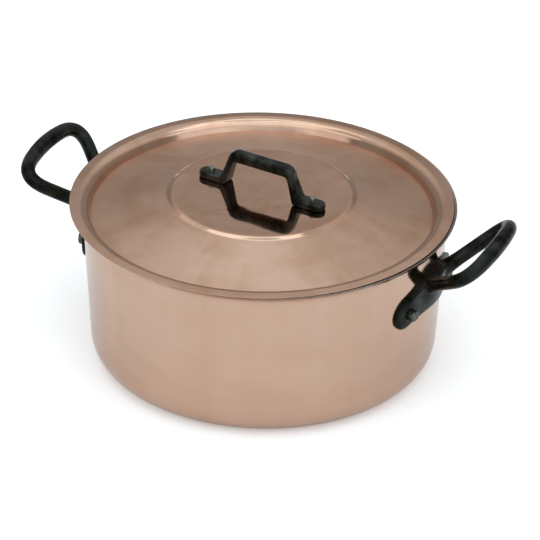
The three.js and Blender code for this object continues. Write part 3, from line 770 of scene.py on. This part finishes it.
def side_plate(shape, handle):
    """The base plate on the +X side, bent to the wall, with its boss and its crest."""
    half = handle.plate_height / 2
    ends = round_end(half)
    stations = ends + [half + (handle.plate_length - 2 * half) * k / 60 for k in range(61)]
    stations += [handle.plate_length - s for s in reversed(ends)]
    rings = []
    for station in stations:
        along = station - handle.plate_length / 2
        turn = along / shape.plate_radius
        from_end = min(station, handle.plate_length - station)
        swell = swell_share(along, handle.boss_length)
        crest = handle.crest * swell_share(along, handle.crest_length)
        thickness = handle.plate + (handle.boss - handle.plate) * swell + SEAT_GAP + PLATE_SUNK
        taper = (handle.boss - handle.boss_foot) * swell / thickness
        ring = []
        for up, out in bar_ring(from_end, half, thickness, handle.edge, handle.back_edge):
            z = shape.plate_level(turn) + up + max(up, 0) / half * crest
            radius = shape.wall(z) - PLATE_SUNK + out * (1 - taper * (1 - up / half) / 2)
            ring.append((radius * math.cos(turn), radius * math.sin(turn), z))
        rings.append(ring)
    return loft_mesh(rings)


def curve_point(a, b, c, t):
    """Point on a quadratic curve from a to c with control b."""
    return a * (1 - t) ** 2 + b * (2 * t * (1 - t)) + c * t ** 2


def loop_path(handle):
    """The rod's centre line from root to root: a leg, a bend, half of the bowed bar, and the same mirrored."""
    corner = Vector((handle.reach - handle.bow, handle.width / 2))
    root = Vector((0, handle.root_width / 2))
    crown = Vector((handle.reach, 0))
    leg_end = corner + (root - corner).normalized() * handle.bend
    bar_end = corner + (crown - corner).normalized() * handle.bend
    far_end = Vector((bar_end.x, -bar_end.y))
    half = [root.lerp(leg_end, k / 24) for k in range(24)]
    half += [curve_point(leg_end, corner, bar_end, k / 24) for k in range(24)]
    half += [curve_point(bar_end, crown, far_end, k / 32) for k in range(17)]
    return half + [Vector((p.x, -p.y)) for p in reversed(half[:-1])]


def side_rod(handle, material):
    """The rod of a loop, in its own plane, thicker at its roots and in the bar."""
    path = loop_path(handle)
    seed = line_seed([(p.x, p.y, 0) for p in path])
    walked = [0.0]
    for a, b in zip(path, path[1:]):
        walked.append(walked[-1] + (b - a).length)
    thickness = seed.attributes.new("thickness", "FLOAT", "POINT")
    start = 2 * handle.root_length  # where the rod starts to thicken towards the bar
    for i, gone in enumerate(walked):
        from_root = min(gone, walked[-1] - gone)
        root = max(1 - from_root / handle.root_length, 0) ** 2
        bar = eased(max((from_root - start) / (walked[-1] / 2 - start), 0))
        thickness.data[i].value = (
            handle.rod + (handle.root - handle.rod) * root + (handle.bar - handle.rod) * bar)
    tree = bpy.data.node_groups.get("Cast rod") or rod_tree()
    return grown(tree, seed, {"Sides": ROD_SIDES, "Material": material})


def side_casting(settings, material):
    """The loop handle on the +X side: a plate bent to the wall, and a rod that grows out of its boss."""
    shape, handle = Shape(settings), settings.side_handle
    rod = side_rod(handle, material)
    start_z = shape.plate_z + handle.root_rise
    place = Matrix.Translation((shape.wall(start_z), 0, start_z))
    rod.transform(place @ Matrix.Rotation(-handle.tilt, 4, "Y"))
    return cast_skin(joined([side_plate(shape, handle), rod]), material, voxel=0.5 * MM, rounds=8)


def bow_line(bow, foot_z, grip_z, outwards, foot_fillet, grip_fillet):
    """One side of the bow, end to end: outwards is 1 for its outside and -1 for the side of the fingers."""
    foot_middle = SEAT_GAP + bow.foot / 2
    rise = bow.height - bow.grip / 2 - foot_middle
    narrowing = (bow.leg_span - bow.top_span) / 2
    aside = outwards * bow.leg / 2 * math.hypot(rise, narrowing) / rise
    low, high = (bow.leg_span / 2 - narrowing * (z - foot_middle) / rise + aside for z in (foot_z, grip_z))
    return rounded([
        (-bow.span / 2, foot_z),
        (-low, foot_z, foot_fillet),
        (-high, grip_z, grip_fillet),
        (high, grip_z, grip_fillet),
        (low, foot_z, foot_fillet),
        (bow.span / 2, foot_z),
    ])


def lid_bow(settings, material):
    """The bow handle, along X with z = 0 on the disc: flat feet, leaning legs, flat below and rounded on top."""
    bow = settings.lid_handle
    foot_top = SEAT_GAP + bow.foot
    palm = bow.height - bow.grip
    inside = bow_line(bow, SEAT_GAP, palm, -1, bow.heel_fillet, bow.palm_fillet)
    outside = bow_line(bow, foot_top, bow.height, 1, bow.instep_fillet, bow.top_fillet)
    half = bow.foot_width / 2
    ends = [bow.span / 2 - s for s in (*round_end(half), half)]
    pairs = [(Vector((-x, SEAT_GAP)), Vector((-x, foot_top))) for x in ends]
    for i in range(1, len(inside) - 1):
        before = pairs[-1]
        count = max(1, math.ceil((outside[i] - before[1]).length / MM))
        for k in range(1, count + 1):
            pairs.append((before[0].lerp(inside[i], k / count), before[1].lerp(outside[i], k / count)))
    pairs += [(Vector((x, SEAT_GAP)), Vector((x, foot_top))) for x in reversed(ends)]
    rings = []
    for low, high in pairs:
        grip = eased(min(max((high.y - foot_top) / (palm - foot_top), 0), 1))
        width = half + (bow.grip_width / 2 - half) * grip
        edge = bow.foot_edge + (bow.grip_edge - bow.foot_edge) * grip
        from_end = bow.span / 2 - abs(low.x)
        up = (high - low).normalized()
        rings.append([
            (low.x + up.x * rise, side, low.y + up.y * rise)
            for side, rise in bar_ring(from_end, width, (high - low).length, edge, bow.under_edge)])
    return cast_skin(loft_mesh(rings), material, voxel=0.35 * MM, rounds=4)


def rivet_section(head, rise, back, dome, shank, seat, sheet):
    """Section of a rivet, with z = 0 on the outside of the sheet that it holds."""
    under = -sheet
    section = [Vector((back * math.sin(t), under - dome * math.cos(t)))
               for t in (math.radians(90 * k / 10) for k in range(11))]
    section += [Vector((shank, under)), Vector((shank, seat))]
    edge, flat, crown = 0.32 * head, 0.3 * head, 0.06 * head
    peak = seat + rise
    top = rounded([(head, seat), (head, peak - crown, edge), (flat, peak, head), (0, peak)])
    return section + evened(top, longest=0.5 * MM, margin=0.1 * MM)


class BuildPotShell(bpy.types.Operator):
    """Turns the copper pot with its tapered wall and flared lip"""
    bl_idname = "casserole.pot_shell"
    bl_label = "Copper Pot"

    def execute(self, context):
        settings = context.scene.casserole
        pot = settings.pot
        section = sheet_section(
            Shape(settings).pot_line, 0, pot.copper, 0, pot.lip_tuck, pot.copper - pot.lip_edge, pot.lip)
        mesh = turned(section, TURN_STEPS, pot_copper(settings))
        finish_piece("copper_pot", mesh, "pot", ["pot_shell"])
        return {"FINISHED"}


class BuildLinings(bpy.types.Operator):
    """Turns the steel linings of the pot and of the lid"""
    bl_idname = "casserole.linings"
    bl_label = "Linings"

    def execute(self, context):
        settings = context.scene.casserole
        shape, pot, lid = Shape(settings), settings.pot, settings.lid
        before, edge = shape.pot_line[-2:]
        trimmed = shape.pot_line[:-1] + [edge + (before - edge).normalized() * pot.lining_inset]
        section = sheet_section(trimmed, pot.copper + BOND_GAP, shape.pot_wall)
        material = satin_lining(settings, "satin_steel_pot_lining", Vector((0, 0, 0)))
        mesh = turned(section, TURN_STEPS, material)
        finish_piece("pot_inside", mesh, "pot", ["pot_lining"])
        short = [p for p in shape.lid_line if p.x < shape.lid_line[-1].x - lid.lining_inset]
        section = sheet_section(short, -shape.lid_wall, -lid.copper - BOND_GAP)
        material = satin_lining(settings, "satin_steel_lid_lining", shape.lid_centre)
        mesh = turned(section, TURN_STEPS, material)
        mesh.transform(shape.lid_place)
        finish_piece("lid_underside", mesh, "lid", ["lid_lining"])
        return {"FINISHED"}


class BuildLidShell(bpy.types.Operator):
    """Turns the copper lid: flange, step, dome and raised disc"""
    bl_idname = "casserole.lid_shell"
    bl_label = "Copper Lid"

    def execute(self, context):
        settings = context.scene.casserole
        shape = Shape(settings)
        lid = settings.lid
        lap = 0.7 * SEAT_GAP  # the edge hides most of the gap over the lip
        hem = shape.lid_wall - lid.copper + lap - lid.droop
        section = sheet_section(shape.lid_line, -lid.copper, 0, hem, lid.tuck)
        mesh = turned(section, TURN_STEPS, lid_copper(settings))
        mesh.transform(shape.lid_place)
        finish_piece("copper_lid", mesh, "lid", ["lid_shell"])
        return {"FINISHED"}


class BuildSideHandles(bpy.types.Operator):
    """Casts the two loop handles and bends their plates to the wall"""
    bl_idname = "casserole.side_handles"
    bl_label = "Side Handles"

    def execute(self, context):
        settings = context.scene.casserole
        iron = blackened_iron(settings.colours, "blackened_cast_iron", dull=0.03, bright=0.17, skin=1.0)
        right = side_casting(settings, iron)
        left = right.copy()
        left.transform(Matrix.Rotation(math.pi, 4, "Z"))
        finish_piece("cast_handle_right", right, "pot", ["side_handle_right"])
        finish_piece("cast_handle_left", left, "pot", ["side_handle_left"])
        return {"FINISHED"}


class BuildLidHandle(bpy.types.Operator):
    """Casts the bow handle of the lid"""
    bl_idname = "casserole.lid_handle"
    bl_label = "Lid Handle"

    def execute(self, context):
        settings = context.scene.casserole
        shape = Shape(settings)
        iron = blackened_iron(settings.colours, "rubbed_cast_iron", dull=0.05, bright=0.5, skin=0.4)
        mesh = lid_bow(settings, iron)
        mesh.transform(shape.lid_place @ Matrix.Translation((0, 0, shape.disc_z)))
        finish_piece("cast_lid_bow", mesh, "lid", ["lid_handle"])
        return {"FINISHED"}


class BuildRivets(bpy.types.Operator):
    """Sets the steel rivets of the side handles and of the lid's handle"""
    bl_idname = "casserole.rivets"
    bl_label = "Rivets"

    def execute(self, context):
        settings = context.scene.casserole
        shape, handle, size = Shape(settings), settings.side_handle, settings.rivet
        colours = settings.colours
        # The side rivets get a darker copy of the steel as painted shade.
        shaded_steel = hammered_steel("shaded_rivet_steel", colours.side_rivet, colours.side_rivet_stain)
        bare = hammered_steel("bare_rivet_steel", colours.rivet, colours.rivet_stain)
        spread = (handle.plate_length / 2 - size.side_inset) / shape.plate_radius
        z = shape.plate_level(spread) - size.side_drop
        points, ways = [], []
        for turn in (-spread, spread, math.pi - spread, math.pi + spread):
            around = Matrix.Rotation(turn, 3, "Z")
            points.append(around @ Vector((shape.wall(z), 0, z)))
            ways.append(around @ Vector((math.cos(shape.draft), 0, -math.sin(shape.draft))))
        hollow = size.side_back ** 2 / (2 * shape.plate_radius)  # of the curved wall behind the head
        section = rivet_section(
            size.side_head, size.side_rise, size.side_back, size.side_dome, size.side_shank,
            seat=SEAT_GAP + handle.plate - HEAD_SUNK, sheet=shape.pot_wall + hollow)
        mesh = self.set_rivets(size, section, points, ways, shaded_steel, seed=5)
        finish_piece("pot_rivets", mesh, "pot", [
            "side_rivet_right_front", "side_rivet_right_rear", "side_rivet_left_front", "side_rivet_left_rear"])

        reach = settings.lid_handle.span / 2 - size.lid_inset
        place = shape.lid_place @ Matrix.Translation((0, 0, shape.disc_z))
        points = [place @ Vector((side * reach, 0, 0)) for side in (-1, 1)]
        section = rivet_section(
            size.lid_head, size.lid_rise, size.lid_back, size.lid_dome, size.lid_shank,
            seat=SEAT_GAP + settings.lid_handle.foot - HEAD_SUNK, sheet=shape.lid_wall)
        mesh = self.set_rivets(size, section, points, [Vector((0, 0, 1))] * 2, bare, seed=11)
        finish_piece("lid_rivets", mesh, "lid", ["lid_rivet_left", "lid_rivet_right"])
        return {"FINISHED"}

    def set_rivets(self, size, section, points, ways, steel, seed):
        """One mesh of rivets, from a section, the points that they go in at and their directions."""
        pattern = placed("rivet_pattern", turned(section, RIVET_STEPS, steel))
        spots = line_seed(points, edges=False)
        direction = spots.attributes.new("direction", "FLOAT_VECTOR", "POINT")
        for i, way in enumerate(ways):
            direction.data[i].vector = way
        tree = bpy.data.node_groups.get("Set rivets") or rivet_tree()
        mesh = grown(tree, spots, {
            "Rivet": pattern, "Hammer depth": size.hammer_depth, "Hammer mark": size.hammer_mark,
            "Seed": seed, "Material": steel})
        used = pattern.data
        bpy.data.objects.remove(pattern)
        bpy.data.meshes.remove(used)
        return mesh


# Stage

FLOOR_RADIUS = 12.0
FLOOR_GAP = 0.1 * MM  # between the floor and the pot's base
AZIMUTH = math.radians(23.25)  # the camera stands this far round to the right of the front
ELEVATION = math.radians(29.95)
ROLL = 0.0183  # radians
DISTANCE = 2.325  # metres from the aim
AIM = Vector((3.468, 1.490, 59.06)) * MM
LENS, SENSOR = 233.33, 36.0  # millimetres
RIGHT = Vector((math.cos(AZIMUTH), math.sin(AZIMUTH), 0))  # in the picture
NEAR = Vector((math.sin(AZIMUTH), -math.cos(AZIMUTH), 0))  # towards the camera, level
LAMP_COLOUR = (0.8, 0.9, 1.0)
# Each lamp's width and depth, brightness, place (to the right, near and up), and turn where it hangs level.
# One without a turn faces the pot.
LAMPS = {
    "overhead": ((3.12, 1.21), 0.2, (-0.75, -0.69, 2.3), math.radians(-28.1022)),
    "top": ((2.6, 0.9), 1.3, (0.2, 0.35, 2.3), 0.0),
    "strip": ((2.2, 0.5), 0.9, (-0.3, -0.36, 2.25), 0.0),
    "front": ((8.0, 1.9), 0.8, (0.0, 1.9, 2.2), None),
    "low": ((8.0, 0.7), 1.0, (0.0, 2.6, 1.05), None),
}


class BuildStage(bpy.types.Operator):
    """Lays the floor, and sets the lamps and the camera"""
    bl_idname = "casserole.stage"
    bl_label = "Stage"

    def execute(self, context):
        scene = context.scene
        work = bmesh.new()
        bmesh.ops.create_circle(work, cap_ends=True, segments=96, radius=FLOOR_RADIUS)
        mesh = mesh_of(work, "floor")
        mesh.transform(Matrix.Translation((0, 0, -FLOOR_GAP)))
        mesh.materials.append(white_paper(scene.casserole.colours))
        floor = placed("floor", mesh)
        scene.world = self.room()
        for name, (size, brightness, place, turn) in LAMPS.items():
            self.softbox(name, size, brightness, place, turn)
        scene.camera = self.camera()
        scene.view_settings.view_transform = "Standard"
        return {"FINISHED"}

    def room(self):
        """A world that is dim towards the horizon, and brighter and faintly blue overhead."""
        world = bpy.data.worlds.new("studio")
        world.use_nodes = True
        tree = world.node_tree
        way = put(tree, "ShaderNodeTexCoord").outputs["Generated"]
        # The height of a direction is the sine of its elevation.
        height = put(tree, "ShaderNodeSeparateXYZ", {0: way}).outputs["Z"]
        strength = put(tree, "ShaderNodeMapRange", {
            "Value": height, "From Min": 0.32, "From Max": 0.72, "To Min": 0.34, "To Max": 0.85},
            interpolation_type="SMOOTHSTEP").outputs[0]
        blue = put(tree, "ShaderNodeMapRange", {"Value": height, "From Min": 0.6, "From Max": 0.9}).outputs[0]
        sky = put(tree, "ShaderNodeMixRGB", {
            "Fac": blue, "Color1": (1, 1, 1, 1), "Color2": (0.85, 0.98, 1.02, 1)}).outputs[0]
        fill(tree, tree.nodes["Background"], {"Color": sky, "Strength": strength})
        return world

    def softbox(self, name, size, brightness, place, turn):
        """A soft rectangular lamp, as bright as a sheet of that radiance."""
        lamp = bpy.data.lights.new(name, "AREA")
        lamp.shape = "RECTANGLE"
        lamp.size, lamp.size_y = size
        lamp.energy = brightness * 4 * size[0] * size[1]
        lamp.color = LAMP_COLOUR
        spot = RIGHT * place[0] + NEAR * place[1] + Vector((0, 0, place[2]))
        thing = placed(name, lamp)
        thing.location = spot
        if turn is None:
            thing.rotation_euler = (-spot).to_track_quat("-Z", "Y").to_euler()
        else:
            thing.rotation_euler = (0, 0, AZIMUTH + turn)

    def camera(self):
        """The camera, at the photograph's angle."""
        level = math.cos(ELEVATION)
        towards = Vector((math.sin(AZIMUTH) * level, -math.cos(AZIMUTH) * level, math.sin(ELEVATION)))
        up = towards.cross(RIGHT)
        turned_right = RIGHT * math.cos(ROLL) + up * math.sin(ROLL)
        turned_up = up * math.cos(ROLL) - RIGHT * math.sin(ROLL)
        lens = bpy.data.cameras.new("camera")
        lens.sensor_width = SENSOR
        lens.lens = LENS
        lens.clip_end = 100.0
        camera = placed("camera", lens)
        camera.matrix_world = Matrix((turned_right, turned_up, towards)).transposed().to_4x4()
        camera.location = AIM + towards * DISTANCE
        return camera


class CasserolePanel(bpy.types.Panel):
    """Sizes, colours and building steps of the casserole"""
    bl_idname = "VIEW3D_PT_casserole"
    bl_label = "Copper Casserole"
    bl_space_type = "VIEW_3D"
    bl_region_type = "UI"
    bl_category = "Casserole"

    def draw(self, context):
        settings = context.scene.casserole
        for operator in OPERATORS:
            self.layout.operator(operator.bl_idname)
        for group in CasseroleSettings.__annotations__:
            box = self.layout.box()
            box.label(text=group.replace("_", " ").capitalize())
            for name in getattr(settings, group).__annotations__:
                box.prop(getattr(settings, group), name)


GROUPS = (PotSizes, LidSizes, SideHandleSizes, LidHandleSizes, RivetSizes, CasseroleColours, CasseroleSettings)
OPERATORS = (BuildStage, BuildPotShell, BuildLinings, BuildLidShell, BuildSideHandles, BuildLidHandle, BuildRivets)


def register():
    for each in (*GROUPS, *OPERATORS, CasserolePanel):
        bpy.utils.register_class(each)
    bpy.types.Scene.casserole = bpy.props.PointerProperty(type=CasseroleSettings)


def unregister():
    del bpy.types.Scene.casserole
    for each in reversed((*GROUPS, *OPERATORS, CasserolePanel)):
        bpy.utils.unregister_class(each)


def main():
    register()
    bpy.ops.casserole.stage()
    bpy.ops.casserole.pot_shell()
    bpy.ops.casserole.linings()
    bpy.ops.casserole.lid_shell()
    bpy.ops.casserole.side_handles()
    bpy.ops.casserole.lid_handle()
    bpy.ops.casserole.rivets()


if __name__ == "__main__":
    main()
